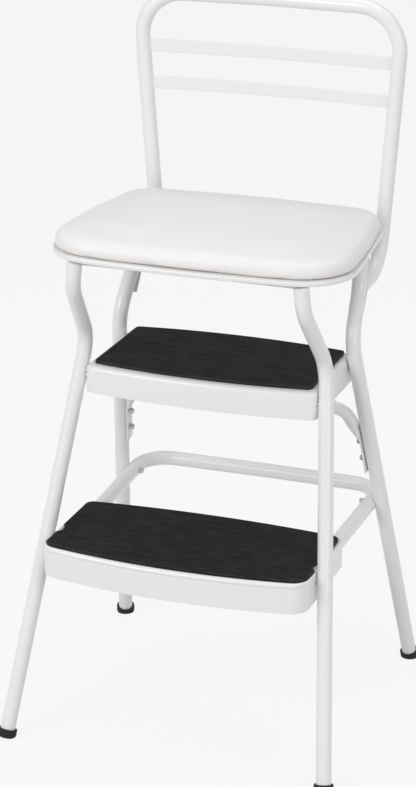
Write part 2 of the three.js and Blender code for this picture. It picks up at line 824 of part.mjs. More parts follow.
function arcPlaces(centreY, centreZ, radius, fromDegrees, toDegrees, steps) {
  return Array.from({ length: steps + 1 }, (_, i) => {
    const angle = THREE.MathUtils.degToRad(THREE.MathUtils.lerp(fromDegrees, toDegrees, i / steps));
    return [centreY + radius * Math.cos(angle), centreZ + radius * Math.sin(angle)];
  });
}

// A side outline of [y, z] places that runs behind the rear leg's centre line
function outlineBehindLeg(offset) {
  const line = new BentLine(rearLegCorners, legRadii, 4);
  return line.points.map((p, i) => {
    const { y, z } = line.tangents[i];
    const length = Math.hypot(y, z);
    return [p.y + (offset * z) / length, p.z - (offset * y) / length];
  });
}

function placeAtHeight(outline, level) {
  const i = outline.findIndex(([, z], k) => k > 0 && z >= level);
  const [[y0, z0], [y1, z1]] = [outline[i - 1], outline[i]];
  return [THREE.MathUtils.lerp(y0, y1, share(level, z0, z1)), level];
}

const stripFront = outlineBehindLeg(tubeRadius + clearance);
const stripBack = outlineBehindLeg(tubeRadius + clearance + bracketThickness);

// The strip lies along the back of the rear leg, bends with it, and is cut level at both ends
function bracketStrip() {
  const trimmed = (outline) => {
    const inside = outline.filter(([, z]) => z > bracketBottomZ && z < bracketTopZ);
    const ends = [bracketBottomZ, bracketTopZ].map((level) => placeAtHeight(outline, level));
    return [ends[0], ...inside, ends[1]];
  };
  const outline = [...trimmed(stripFront), ...trimmed(stripBack).reverse()];
  return sidePlate(outline, rearTopX, bracketWidth);
}

function hingeBracket() {
  const ear = sidePlate(
    [
      [bracketRootY, hingeZ - earRadius * 2],
      ...arcPlaces(hingeY, hingeZ, earRadius, -60, 43, 7),
      [bracketRootY, bracketTopZ],
    ],
    bracketEarX,
    earThickness,
  );
  const pinHole = barAlongX(pinHoleRadius, bracketEarX - overrun, bracketEarX + overrun, hingeY, hingeZ);
  const studHole = barAlongY(boltHoleRadius, backStudX, rearTopY, bracketBackY + overrun, backStudZ);
  return cut(join(bracketStrip(), ear), pinHole, studHole);
}

pair("hinge_bracket", hingeBracket(), whiteEnamel);

// Hinge pin: a headed rivet through the bracket's ear and the seat's ear
const seatEarX = bracketEarX - earThickness - clearance;

// A rivet along X between two faces, with a low rounded head on each
function rivet(inner, outer, y, z, headRadius, headHeight) {
  const crownShare = 0.6;
  const profile = [
    [0, -headHeight],
    [headRadius * crownShare, -headHeight],
    [headRadius, -headHeight / 2],
    [headRadius, 0],
    [boltRadius, 0],
    [boltRadius, outer - inner],
    [headRadius, outer - inner],
    [headRadius, outer - inner + headHeight / 2],
    [headRadius * crownShare, outer - inner + headHeight],
    [0, outer - inner + headHeight],
  ];
  return turnedToLeft(profile, outer, y, z);
}

function hingePin() {
  const inner = seatEarX - earThickness / 2 - clearance;
  const outer = bracketEarX + earThickness / 2 + clearance;
  return rivet(inner, outer, hingeY, hingeZ, pinHeadRadius, pinHeadHeight);
}

pair("hinge_pin", hingePin(), zincPlate);

// Back frame: one tube, its top bowed back, its lower ends curled forward to the rear legs
const backY = 200;
const backTopZ = 880.5;
const curlRadius = 45;
const curlEndY = placeAtHeight(stripBack, backStudZ + tubeRadius)[0] + clearance;
const backLean = 0.0735;
const backTopRadius = 55;
const backBow = 10;
const backBowRadius = 500;
const backX = (z) => backStudX + backLean * (z - backStudZ);

function backFrame() {
  const topX = backX(backTopZ);
  return bentTube(
    [
      at(-backStudX, curlEndY, backStudZ),
      at(-backStudX, backY, backStudZ),
      at(-topX, backY, backTopZ),
      at(0, backY + backBow, backTopZ),
      at(topX, backY, backTopZ),
      at(backStudX, backY, backStudZ),
      at(backStudX, curlEndY, backStudZ),
    ],
    [curlRadius, backTopRadius, backBowRadius, backTopRadius, curlRadius],
    { rings: 6 },
  );
}

piece("back_frame", backFrame(), whiteEnamel);

// Back slats: flat strips, bowed back, welded between the uprights
const slatHeight = 17;
const slatThickness = 2;
const slatBow = 10;
const upperSlatDrop = 60.5;
const lowerSlatDrop = 108.5;
const slatTopZs = {
  back_slat_upper: backTopZ - upperSlatDrop,
  back_slat_lower: backTopZ - lowerSlatDrop,
};
const slatSteps = 10;

function slat(topZ) {
  const midZ = topZ - slatHeight / 2;
  const half = backX(midZ) - tubeRadius - clearance;
  const inset = backLean * (slatHeight / 2);
  const front = [];
  const back = [];
  for (let i = 0; i <= slatSteps; i++) {
    const x = THREE.MathUtils.lerp(-half + inset, half - inset, i / slatSteps);
    const bow = slatBow * (1 - (x / half) ** 2);
    front.push(new THREE.Vector2(x, backY + bow - slatThickness / 2));
    back.unshift(new THREE.Vector2(x, backY + bow + slatThickness / 2));
  }
  return slab(new THREE.Shape([...front, ...back]), topZ - slatHeight, topZ);
}

for (const [name, topZ] of Object.entries(slatTopZs)) {
  piece(name, slat(topZ), whiteEnamel);
}

// Back studs: a plug in each end of the back frame, with a stud on through the bracket into the
// rear leg
const plugLength = 12;

function backStud() {
  const bore = (tubeRadius - tubeWall) * Math.cos(Math.PI / ringSides);
  const plugRadius = bore - clearance;
  const profile = [
    [0, rearTopY],
    [boltRadius, rearTopY],
    [boltRadius, curlEndY],
    [plugRadius, curlEndY],
    [plugRadius, curlEndY + plugLength],
    [0, curlEndY + plugLength],
  ];
  const stud = new THREE.LatheGeometry(profile.map(([r, y]) => new THREE.Vector2(r, y)), 12);
  return stud.translate(backStudX, 0, backStudZ);
}

pair("back_stud", backStud(), zincPlate);

// Capped bolts into the legs. Each sits clear of a face that leans, by the drop of its hexagon.
const rearLean = (rearFootX - rearKneeX) / rearKneeZ;
const seatClear = clearance + hexRadius * rearLean;

function braceBolt(z) {
  return cappedBolt(braceFootX(z) - braceFlat / 2 - seatClear, rearLegX(z), rearLegY(z), z);
}

pair("brace_upper_bolt", braceBolt(braceUpperBoltZ), zincPlate);
pair("brace_lower_bolt", braceBolt(braceLowerBoltZ), zincPlate);

function barBolt(legX, y) {
  return cappedBolt(armXAt(y) - tubeRadius - clearance, legX, y, armZAt(y));
}

pair("bar_bolt", barBolt(rearLegX(barBoltZ), barBoltY), zincPlate);
pair("lower_step_bolt", barBolt(frontLegX(stepBoltZ), stepBoltY), zincPlate);

// The front one stands off the skirt, whose corner starts to round there
function topStepBolt(legX, y, standOff) {
  return cappedBolt(wallInside(topSizes, y) - standOff, legX, y, topBoltZ);
}

pair("top_step_front_bolt", topStepBolt(frontLegX(topBoltZ), topBoltY, sheet), zincPlate);
pair("top_step_rear_bolt", topStepBolt(rearLegX(topBoltZ), topRearBoltY, seatClear), zincPlate);

// Brace rivets: through the brace's front end and the top step's skirt
const rivetHeadRadius = 5;
const rivetHeadHeight = 1.8;
const braceWallX = wallInside(topSizes, braceRivetY);

function braceRivet() {
  const inner = braceWallX - braceFlat - 2 * clearance;
  const outer = braceWallX + sheet + clearance;
  return rivet(inner, outer, braceRivetY, braceRivetZ, rivetHeadRadius, rivetHeadHeight);
}

pair("brace_rivet", braceRivet(), zincPlate);

// Seat: a steel pan, a board in it and a padded cover on top
const seatSizes = {
  frontHalf: 203,
  rearHalf: 175,
  frontY: -101.5,
  rearY: 165.7,
  frontBow: 14.6,
  rearBow: 3,
  frontRound: 70,
  rearRound: 43,
};
const panInset = 3;
const panRimZ = seamZ - sheet;

function seatPan() {
  const outer = slab(plan(seatSizes, panInset), panFloorZ, panRimZ);
  const inner = slab(plan(seatSizes, panInset + sheet), panFloorZ + sheet, panRimZ + overrun);
  return cut(outer, inner);
}

function seatBoard() {
  const inset = panInset + sheet + clearance;
  return slab(plan(seatSizes, inset), panFloorZ + sheet + clearance, seamZ - clearance);
}

// The pad: a closed cushion with a tucked-in bottom edge, upright sides that pull in between
// the corners, and a crowned top. Its edge goes by shares of the shoulder's width, of the
// cushion's thickness and of the crown.
const padThickness = padEdgeZ - seamZ;
const padShoulder = 14;
const padDrawIn = -3;
const padEdgeShares = [
  [0.36, 0, 0],
  [0.09, 0.07, 0],
  [0, 0.29, 0],
  [0.03, 0.54, 0],
  [0.19, 0.79, 0],
  [0.5, 0.96, 0],
  [1, 1, 0.12],
];
const padTopShares = [0.86, 0.66, 0.42, 0.18];

function seatPad() {
  const outlineAt = (inset) =>
    plan({ ...seatSizes, sideBow: padDrawIn }, inset).getPoints(planSegments).slice(0, -1);
  const rings = padEdgeShares.map(([insetShare, riseShare, crownShare]) => {
    const z = seamZ + riseShare * padThickness + crownShare * padCrown;
    return outlineAt(insetShare * padShoulder).map((p) => at(p.x, p.y, z));
  });
  const rim = outlineAt(padShoulder);
  const rimCrownShare = padEdgeShares.at(-1)[2];
  const middleY = (seatSizes.frontY + seatSizes.rearY) / 2;
  padTopShares.forEach((s) => {
    const rise = THREE.MathUtils.lerp(1, rimCrownShare, s ** 2);
    const z = padEdgeZ + rise * padCrown;
    rings.push(rim.map((p) => at(p.x * s, middleY + (p.y - middleY) * s, z)));
  });
  return loft(rings);
}

// Seat hinges: an ear under the pan on each side, beside the bracket's ear
const seatEarHalf = 11;

function seatHinge() {
  const top = panFloorZ - clearance;
  const outline = [
    [hingeY - seatEarHalf, top],
    ...arcPlaces(hingeY, hingeZ, earRadius, 210, 330, 6),
    [hingeY + seatEarHalf, top],
  ];
  const ear = sidePlate(outline, seatEarX, earThickness);
  return cut(ear, barAlongX(pinHoleRadius, seatEarX - overrun, seatEarX + overrun, hingeY, hingeZ));
}

piece("seat_pan", seatPan(), whiteEnamel);
piece("seat_board", seatBoard(), plywood);
piece("seat_pad", seatPad(), whiteVinyl);
pair("seat_hinge", seatHinge(), zincPlate);

// The origin is on the floor under the middle of the footprint
const footprint = new THREE.Box3().setFromObject(chair);
chair.position.y = -(footprint.min.y + footprint.max.y) / 2;
const model = new THREE.Group();
model.add(chair);

export default model;
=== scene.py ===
import math

import bmesh
import bpy
from mathutils import Matrix, Vector


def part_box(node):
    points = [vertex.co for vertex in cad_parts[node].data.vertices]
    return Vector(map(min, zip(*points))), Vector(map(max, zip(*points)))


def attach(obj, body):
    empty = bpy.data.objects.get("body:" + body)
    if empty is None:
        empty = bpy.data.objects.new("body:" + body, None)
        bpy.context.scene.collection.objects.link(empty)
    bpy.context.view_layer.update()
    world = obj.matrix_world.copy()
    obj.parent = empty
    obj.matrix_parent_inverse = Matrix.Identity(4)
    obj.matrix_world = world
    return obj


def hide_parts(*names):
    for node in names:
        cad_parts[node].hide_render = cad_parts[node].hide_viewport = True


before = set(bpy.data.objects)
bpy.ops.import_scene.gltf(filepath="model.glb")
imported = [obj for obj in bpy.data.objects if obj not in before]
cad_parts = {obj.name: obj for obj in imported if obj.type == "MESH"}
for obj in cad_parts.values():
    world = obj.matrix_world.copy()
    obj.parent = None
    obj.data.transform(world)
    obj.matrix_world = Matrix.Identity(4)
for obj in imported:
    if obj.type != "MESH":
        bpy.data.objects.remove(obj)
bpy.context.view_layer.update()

# Front and rear legs
# Four round steel tubes, bent above the top step so that they stand upright under the seat,
# where the front pair is closed. White baked enamel, which is smooth with a faint ripple.
mm = 0.001
tiny = 0.01 * mm
tube_radius = 9.5 * mm
tube_wall = 1.2 * mm
tube_sides = 32
leg_bend = 50 * mm
foot_end = 4.5 / 491
front_foot = Vector((210.8, -200.54, 0)) * mm
front_knee = Vector((156.6, -43.34, 491)) * mm
front_neck = Vector((147.46, -108.34, 575.6)) * mm
front_top = Vector((144, -108.34, 607.6)) * mm
rear_foot = Vector((207.3, 196.86, 0)) * mm
rear_knee = Vector((156, 61.66, 488)) * mm
rear_neck = Vector((152, 104.66, 545.3)) * mm
rear_top = Vector((152, 104.66, 607.6)) * mm


class Signal:
    """A shader socket that sums and products can be written with."""

    def __init__(self, finish, socket):
        self.finish = finish
        self.socket = socket

    def math(self, operation, first, second):
        return self.finish.node("Math", {"operation": operation}, {0: first, 1: second})

    def __add__(self, other):
        return self.math("ADD", self, other)

    def __sub__(self, other):
        return self.math("SUBTRACT", self, other)

    def __rsub__(self, other):
        return self.math("SUBTRACT", other, self)

    def __mul__(self, other):
        return self.math("MULTIPLY", self, other)

    __radd__ = __add__
    __rmul__ = __mul__


class Finish:
    """A material, built node by node."""

    def __init__(self, name):
        self.material = bpy.data.materials.new(name)
        self.material.use_nodes = True
        self.tree = self.material.node_tree
        self.shader = self.tree.nodes["Principled BSDF"]
        self.place = self.node("TexCoord", {}, {}, "Object")

    def connect(self, node, inputs):
        for key, value in inputs.items():
            if isinstance(value, Signal):
                self.tree.links.new(value.socket, node.inputs[key])
            else:
                node.inputs[key].default_value = value

    def node(self, kind, settings, inputs, output=0):
        made = self.tree.nodes.new("ShaderNode" + kind)
        for key, value in settings.items():
            setattr(made, key, value)
        self.connect(made, inputs)
        return Signal(self, made.outputs[output])

    def noise(self, scale, detail=2.0, place=None):
        inputs = {"Vector": place or self.place, "Scale": scale, "Detail": detail}
        return self.node("TexNoise", {}, inputs, "Fac")

    def stretched(self, scale):
        return self.node("Mapping", {}, {"Vector": self.place, "Scale": scale})

    def mix(self, factor, first, second):
        inputs = {0: factor, 6: (*first, 1), 7: (*second, 1)}
        return self.node("Mix", {"data_type": "RGBA"}, inputs, 2)

    def bump(self, height, strength, distance):
        inputs = {"Height": height, "Strength": strength, "Distance": distance}
        return self.node("Bump", {}, inputs, "Normal")

    def surface(self, inputs):
        self.connect(self.shader, inputs)
        return self.material


def white_enamel_finish():
    finish = Finish("white_enamel")
    cloud = finish.noise(5.0)
    ripple = finish.noise(90.0)
    return finish.surface(
        {
            "Base Color": finish.mix(cloud, (0.845, 0.842, 0.838), (0.875, 0.872, 0.868)),
            "Roughness": 0.26 + 0.06 * finish.noise(45.0, 3.0),
            "Coat Weight": 0.25,
            "Coat Roughness": 0.08,
            "Normal": finish.bump(ripple, 0.02, 0.2 * mm),
        }
    )


white_enamel = white_enamel_finish()


def start_piece():
    """Deselects everything, so that an operator acts on the new piece alone."""
    if bpy.context.object and bpy.context.object.mode != "OBJECT":
        bpy.ops.object.mode_set(mode="OBJECT")
    bpy.ops.object.select_all(action="DESELECT")


def pick(made):
    start_piece()
    made.select_set(True)
    bpy.context.view_layer.objects.active = made


def edit_all(made):
    """Opens the piece in edit mode, with all of it selected."""
    pick(made)
    bpy.ops.object.mode_set(mode="EDIT")
    bpy.ops.mesh.select_all(action="SELECT")


def finish_piece(made, name, material, body, stands_for, smooth_angle=35):
    made.name = name
    made.data.name = name
    pick(made)
    bpy.ops.object.transform_apply(location=True, rotation=True, scale=True)
    bpy.ops.object.shade_smooth_by_angle(angle=math.radians(smooth_angle))
    made.data.materials.clear()
    made.data.materials.append(material)
    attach(made, body)
    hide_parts(*stands_for)
    return made


def apply_modifier(made, kind, **settings):
    pick(made)
    modifier = made.modifiers.new(kind.lower(), kind)
    for key, value in settings.items():
        setattr(modifier, key, value)
    bpy.ops.object.modifier_apply(modifier=modifier.name)


def face_outwards(made):
    edit_all(made)
    bpy.ops.mesh.remove_doubles(threshold=tiny)
    bpy.ops.mesh.normals_make_consistent(inside=False)
    bpy.ops.object.mode_set(mode="OBJECT")


def mirror_copy(made, name, body, stands_for):
    """The left-hand piece: the right-hand mesh, turned over across the middle of the chair."""
    other = made.copy()
    other.data = made.data.copy()
    other.parent = None
    for key in list(other.keys()):
        del other[key]
    bpy.context.scene.collection.objects.link(other)
    other.name = name
    other.data.name = name
    other.data.transform(Matrix.Scale(-1, 4, (1, 0, 0)))
    other.data.flip_normals()
    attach(other, body)
    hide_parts(*stands_for)


def bent_tube(corners, bends, rings=10, end_closed=False, press=None):
    """A tube drawn along straight runs and turned round each bend, with a real wall."""
    start_piece()
    heading = (corners[1] - corners[0]).normalized()
    bpy.ops.mesh.primitive_circle_add(
        vertices=tube_sides,
        radius=tube_radius,
        location=corners[0],
        rotation=heading.to_track_quat("Z", "Y").to_euler(),
    )
    made = bpy.context.object
    bpy.ops.object.mode_set(mode="EDIT")
    bpy.ops.mesh.select_all(action="SELECT")
    here = corners[0]
    for corner, after, bend in zip(corners[1:], corners[2:], bends):
        before = (corner - here).normalized()
        onward = (after - corner).normalized()
        turn = before.angle(onward)
        start = corner - before * bend * math.tan(turn / 2)
        bpy.ops.mesh.extrude_edges_move(TRANSFORM_OT_translate={"value": start - here})
        centre = start + (onward - before * onward.dot(before)).normalized() * bend
        bpy.ops.mesh.spin(
            steps=rings, angle=-turn, center=centre, axis=before.cross(onward)
        )
        here = corner + onward * bend * math.tan(turn / 2)
    bpy.ops.mesh.extrude_edges_move(TRANSFORM_OT_translate={"value": corners[-1] - here})
    if end_closed:
        bpy.ops.mesh.edge_face_add()
    bpy.ops.object.mode_set(mode="OBJECT")
    face_outwards(made)
    if press:
        press(made)
    apply_modifier(made, "SOLIDIFY", thickness=tube_wall, offset=-1.0)
    return made


def leg(foot, knee, neck, top, name, end_closed):
    bottom = foot.lerp(knee, foot_end)
    made = bent_tube([bottom, knee, neck, top], [leg_bend, leg_bend], end_closed=end_closed)
    right = finish_piece(
        made, f"{name}_tube_right", white_enamel, "frame", [f"{name}_right"]
    )
    mirror_copy(right, f"{name}_tube_left", "frame", [f"{name}_left"])


leg(front_foot, front_knee, front_neck, front_top, "front_leg", end_closed=True)
leg(rear_foot, rear_knee, rear_neck, rear_top, "rear_leg", end_closed=False)

# Foot caps
# Moulded black rubber cups, pushed on the leg ends in line with each leg. They are ground
# flat where they meet the floor, and have a rolled lip round the top.
cap_inner = 9.8 * mm
cap_outer = 12.2 * mm
cap_bottom = 6 * mm
cap_cover = 6 * mm
cap_round = 4 * mm
cap_sides = 40
clearance = 0.3 * mm


def black_rubber_finish():
    finish = Finish("black_rubber")
    speckle = finish.noise(420.0, 5.0)
    return finish.surface(
        {
            "Base Color": finish.mix(speckle, (0.006, 0.006, 0.0065), (0.015, 0.015, 0.0155)),
            "Roughness": 0.58 + 0.2 * finish.noise(60.0),
            "Specular IOR Level": 0.35,
            "Normal": finish.bump(speckle, 0.25, 0.15 * mm),
        }
    )


black_rubber = black_rubber_finish()


def turned(profile, base, axis, sides):
    """A turned piece: a disc whose rim is extruded to each (radius, height) along its axis."""
    start_piece()
    axis = Vector(axis).normalized()
    first_radius, first_height = profile[0]
    bpy.ops.mesh.primitive_circle_add(
        vertices=sides,
        radius=first_radius,
        fill_type="NGON",
        location=base + axis * first_height,
        rotation=axis.to_track_quat("Z", "Y").to_euler(),
    )
    made = bpy.context.object
    bpy.ops.object.mode_set(mode="EDIT")
    bpy.ops.mesh.select_all(action="SELECT")
    for (radius, height), (wide, high) in zip(profile, profile[1:]):
        rise = axis * (high - height)
        bpy.ops.mesh.extrude_edges_move(TRANSFORM_OT_translate={"value": rise})
        if wide != radius:
            share = wide / radius
            middle = base + axis * high
            bpy.ops.transform.resize(value=(share, share, share), center_override=middle)
    bpy.ops.mesh.edge_face_add()
    bpy.ops.object.mode_set(mode="OBJECT")
    face_outwards(made)
    return made


def rounding(radius, centre_radius, centre_height, start, end, steps=6):
    """Places on a rounded edge, as (radius, height), from one angle to another in degrees."""
    places = []
    for i in range(steps + 1):
        angle = math.radians(start + (end - start) * i / steps)
        places.append(
            (
                centre_radius + radius * math.cos(angle),
                centre_height + radius * math.sin(angle),
            )
        )
    return places


def foot_cap(foot, knee, name):
    lip = (cap_outer - cap_inner) / 2
    profile = [
        *rounding(cap_round, cap_outer - cap_round, cap_round - cap_bottom, -90, 0),
        *rounding(lip, cap_inner + lip, cap_cover - lip, 0, 180),
        (cap_inner, -clearance),
    ]
    end = foot.lerp(knee, foot_end)
    made = turned(profile, end, knee - foot, cap_sides)
    edit_all(made)
    bpy.ops.mesh.bisect(
        plane_co=(0, 0, 0), plane_no=(0, 0, 1), clear_inner=True, use_fill=True
    )
    bpy.ops.object.mode_set(mode="OBJECT")
    face_outwards(made)
    right = finish_piece(
        made, f"{name}_cup_right", black_rubber, "frame", [f"{name}_right"]
    )
    mirror_copy(right, f"{name}_cup_left", "frame", [f"{name}_left"])


foot_cap(front_foot, front_knee, "front_foot_cap")
foot_cap(rear_foot, rear_knee, "rear_foot_cap")

# Top step
# A tray pressed from 1.2 mm sheet steel, with a rounded edge and a skirt all round, bolted
# between the legs. White enamel. Its plan is a little wider at the front, which is bowed.
sheet = 1.2 * mm
top_plan = {
    "front_half": 150.72 * mm,
    "rear_half": 149.56 * mm,
    "front_y": -67.34 * mm,
    "rear_y": 91.36 * mm,
    "front_bow": 12 * mm,
    "rear_bow": 11 * mm,
    "front_round": 8 * mm,
    "rear_round": 10 * mm,
}
top_plate_z = 462 * mm
top_skirt_z = 427 * mm
top_round = 6 * mm
top_round_steps = 6
edge_points = 14
corner_points = 8
corner_pull = 0.55


def plan_ring(plan, inset, z, side_points=20):
    """Places round a four-cornered plan with rounded corners and bowed edges."""
    front_x = plan["front_half"] - inset
    rear_x = plan["rear_half"] - inset
    front_y = plan["front_y"] + inset
    rear_y = plan["rear_y"] - inset
    front_bow = plan["front_bow"]
    rear_bow = plan.get("rear_bow", 0)
    side_bow = plan.get("side_bow", 0)
    front_round = max(plan["front_round"] - inset, sheet)
    rear_round = max(plan["rear_round"] - inset, sheet)

    def front_at(x):
        return front_y - front_bow * (1 - (x / front_x) ** 2)

    def rear_at(x):
        return rear_y + rear_bow * (1 - (x / rear_x) ** 2)

    def side_at(y):
        along = (y - front_y) / (rear_y - front_y)
        return front_x + (rear_x - front_x) * along

    side_front = front_y + front_round
    side_rear = rear_y - rear_round
    front_end = front_x - front_round
    rear_end = rear_x - rear_round
    half = []
    for i in range(edge_points):
        x = front_end * i / edge_points
        half.append((x, front_at(x)))

    def corner(start, tip, end):
        near = [s + (c - s) * corner_pull for s, c in zip(start, tip)]
        far = [e + (c - e) * corner_pull for e, c in zip(end, tip)]
        for i in range(corner_points):
            t = i / corner_points
            half.append(
                tuple(
                    s * (1 - t) ** 3
                    + 3 * a * t * (1 - t) ** 2
                    + 3 * b * t * t * (1 - t)
                    + e * t**3
                    for s, a, b, e in zip(start, near, far, end)
                )
            )

    corner(
        (front_end, front_at(front_end)),
        (front_x, front_y),
        (side_at(side_front), side_front),
    )
    for i in range(side_points):
        t = i / side_points
        y = side_front + (side_rear - side_front) * t
        half.append((side_at(y) + side_bow * (4 * t * (1 - t)) ** 2, y))
    corner((side_at(side_rear), side_rear), (rear_x, rear_y), (rear_end, rear_at(rear_end)))
    for i in range(edge_points + 1):
        x = rear_end * (1 - i / edge_points)
        half.append((x, rear_at(x)))
    mirrored = [(-x, y) for x, y in half[1:-1]][::-1]
    return [Vector((x, y, z)) for x, y in half + mirrored]


def skin(rings, first_face=True):
    """A skin through rings of places: a rim takes the first ring's shape, and is extruded
    to each next one. The last ring is closed with a face."""
    start_piece()
    fill = "NGON" if first_face else "NOTHING"
    bpy.ops.mesh.primitive_circle_add(vertices=len(rings[0]), radius=mm, fill_type=fill)
    made = bpy.context.object
    bpy.ops.object.mode_set(mode="EDIT")
    bpy.ops.mesh.select_all(action="SELECT")
    rim = list(range(len(rings[0])))
    for step, ring in enumerate(rings):
        if step:
            bpy.ops.mesh.extrude_edges_move()
        shape = bmesh.from_edit_mesh(made.data)
        shape.verts.ensure_lookup_table()
        shape.verts.index_update()
        if step:
            old = [shape.verts[i] for i in rim]
            rim = [
                next(e.other_vert(v).index for e in v.link_edges if e.other_vert(v).select)
                for v in old
            ]
        for i, place in zip(rim, ring):
            shape.verts[i].co = place
        bmesh.update_edit_mesh(made.data)
    bpy.ops.mesh.edge_face_add()
    bpy.ops.object.mode_set(mode="OBJECT")
    return made


top_rings = [plan_ring(top_plan, 0, top_skirt_z)]
for i in range(top_round_steps + 1):
    angle = math.radians(90 * i / top_round_steps)
    inset = top_round * (1 - math.cos(angle))
    top_rings.append(plan_ring(top_plan, inset, top_plate_z - top_round * (1 - math.sin(angle))))
top_tray = skin(top_rings, first_face=False)
face_outwards(top_tray)
apply_modifier(top_tray, "SOLIDIFY", thickness=sheet, offset=-1.0)
finish_piece(
    top_tray, "top_step_pressing", white_enamel, "frame", ["top_step_tray"]
)

# Top step mat
# A black rubber mat with fine ribs from side to side, glued on the top step's plate.
top_mat_plan = {
    "front_half": 141.92 * mm,
    "rear_half": 140.76 * mm,
    "front_y": -57.04 * mm,
    "rear_y": 85.36 * mm,
    "front_bow": 12 * mm,
    "rear_bow": 11 * mm,
    "front_round": 5 * mm,
    "rear_round": 5 * mm,
}
top_mat_bottom = 462.3 * mm
top_mat_top = 466 * mm
mat_edge = 0.8 * mm
rib_pitch = 3.2 * mm
rib_start = 0.25
rib_end = 0.8
rib_depth = 0.5 * mm
rib_rise = rib_depth * 0.9
rib_border = 2.2 * mm
level_facing = 0.9


def mat_rubber_finish():
    finish = Finish("mat_rubber")
    speckle = finish.noise(380.0, 4.0)
    dust = finish.noise(24.0, 3.0, finish.stretched((0.35, 1.0, 1.0)))
    # Painted shade: the long streaks that run along the ribs are darker lines painted into the
    # colour for the shade in the grooves between the ribs. They are mixed with the dust and
    # speckle tone, which varies at random.
    painted_groove_shade = finish.noise(210.0, 2.0, finish.stretched((0.16, 1.0, 1.0)))
    dust_speckle_and_painted_shade = dust * 0.2 + painted_groove_shade * 0.65 + speckle * 0.15
    return finish.surface(
        {
            "Base Color": finish.mix(
                dust_speckle_and_painted_shade * 4.2 - 1.72,
                (0.0005, 0.0005, 0.0006),
                (0.0205, 0.0205, 0.0209),
            ),
            "Roughness": 0.52 + 0.22 * dust,
            "Specular IOR Level": 0.4,
            "Normal": finish.bump(speckle, 0.2, 0.12 * mm),
        }
    )


mat_rubber = mat_rubber_finish()


def ribbed_mat(ring_at, bottom, top):
    """A mat with a plain border. Its field is cut into strips, and every second one is raised."""
    field_z = top - rib_depth
    made = skin(
        [
            ring_at(0, bottom),
            ring_at(0, top - mat_edge),
            ring_at(mat_edge * 0.3, top - mat_edge * 0.3),
            ring_at(mat_edge, top),
            ring_at(rib_border, top),
            ring_at(rib_border, field_z),
        ]
    )
    face_outwards(made)
    edit_all(made)
    bpy.ops.mesh.select_mode(type="FACE")
    ys = [place.y for place in ring_at(rib_border, field_z)]
    first = min(ys)
    count = int((max(ys) - first) / rib_pitch)

    def select_field(wanted):
        bpy.ops.mesh.select_all(action="DESELECT")
        shape = bmesh.from_edit_mesh(made.data)
        for face in shape.faces:
            middle = face.calc_center_median()
            level = abs(middle.z - field_z) < tiny and face.normal.z > level_facing
            face.select_set(level and wanted(middle.y))
        shape.select_flush_mode()
        bmesh.update_edit_mesh(made.data)

    for i in range(count):
        for share in (rib_start, rib_end):
            cut_y = first + (i + share) * rib_pitch
            select_field(lambda y: True)
            bpy.ops.mesh.bisect(plane_co=(0, cut_y, 0), plane_no=(0, 1, 0))
    rib_middle = (rib_start + rib_end) / 2
    rib_half = (rib_end - rib_start) / 2
    select_field(
        lambda y: abs((y - first) / rib_pitch % 1 - rib_middle) < rib_half
        and (y - first) / rib_pitch < count
    )
    bpy.ops.mesh.extrude_region_move(TRANSFORM_OT_translate={"value": (0, 0, rib_rise)})
    bpy.ops.mesh.select_mode(type="VERT")
    bpy.ops.object.mode_set(mode="OBJECT")
    return made


top_mat = ribbed_mat(
    lambda inset, z: plan_ring(top_mat_plan, inset, z), top_mat_bottom, top_mat_top
)
finish_piece(top_mat, "top_step_ribbed_mat", mat_rubber, "frame", ["top_step_mat"])

# Lower step
# A deeper pressed tray between the front legs. Its front edge is rolled up into a bead, the
# plate behind the bead is sunk for the mat, and the rear edge is left open. White enamel.
low_plan = {
    "front_half": 172.67 * mm,
    "rear_half": 172.67 * mm,
    "front_y": -168.54 * mm,
    "rear_y": -9.94 * mm,
    "front_bow": 18 * mm,
    "rear_bow": 4 * mm,
    "front_round": 20 * mm,
    "rear_round": 8 * mm,
}
low_well_plan = {
    "front_half": 170.17 * mm,
    "rear_half": 170.17 * mm,
    "front_y": -160.84 * mm,
    "rear_y": -11.14 * mm,
    "front_bow": 16 * mm,
    "rear_bow": 4 * mm,
    "front_round": 12.3 * mm,
    "rear_round": 6.8 * mm,
}
low_plate_z = 253 * mm
low_skirt_z = 216.4 * mm
bead_fade = 30 * mm
# Each place across the bead, as a share of the way from the outline to the well, and a height
bead_line = [
    (0, 248.4),
    (0.07, 249.1),
    (0.02, 249.7),
    (-0.05, 250.5),
    (-0.09, 251.6),
    (-0.09, 252.8),
    (-0.04, 254),
    (0.05, 255),
    (0.17, 255.6),
    (0.3, 255.9),
    (0.42, 255.8),
    (0.58, 255.4),
    (0.76, 254.7),
    (0.91, 253.9),
    (1, 253),
]
slot_reach = (152.2 * mm, 171.4 * mm)
slot_top = 251.6 * mm


def low_ring(share, z):
    """A ring between the tray's outline and its well. Above the plate, the bead runs along
    the front and round its corners, and dies away along the sides."""
    outer = plan_ring(low_plan, 0, z)
    inner = plan_ring(low_well_plan, 0, z)
    ring = []
    for a, b in zip(outer, inner):
        place = a.lerp(b, share)
        behind = (place.y - low_plan["front_y"] - low_plan["front_round"]) / bead_fade
        keep = 1 - min(max(behind, 0), 1)
        place.z = min(z, low_plate_z) + max(z - low_plate_z, 0) * keep
        ring.append(place)
    return ring


def select_rear_skirt(wanted):
    """Selects the rear skirt's faces, where their middle is as wanted."""
    bpy.ops.mesh.select_all(action="DESELECT")
    shape = bmesh.from_edit_mesh(low_tray.data)
    for face in shape.faces:
        middle = face.calc_center_median()
        rear = middle.y > low_plan["rear_y"] - 0.2 * mm and face.normal.y > level_facing
        face.select_set(rear and wanted(middle))
    shape.select_flush_mode()
    bmesh.update_edit_mesh(low_tray.data)


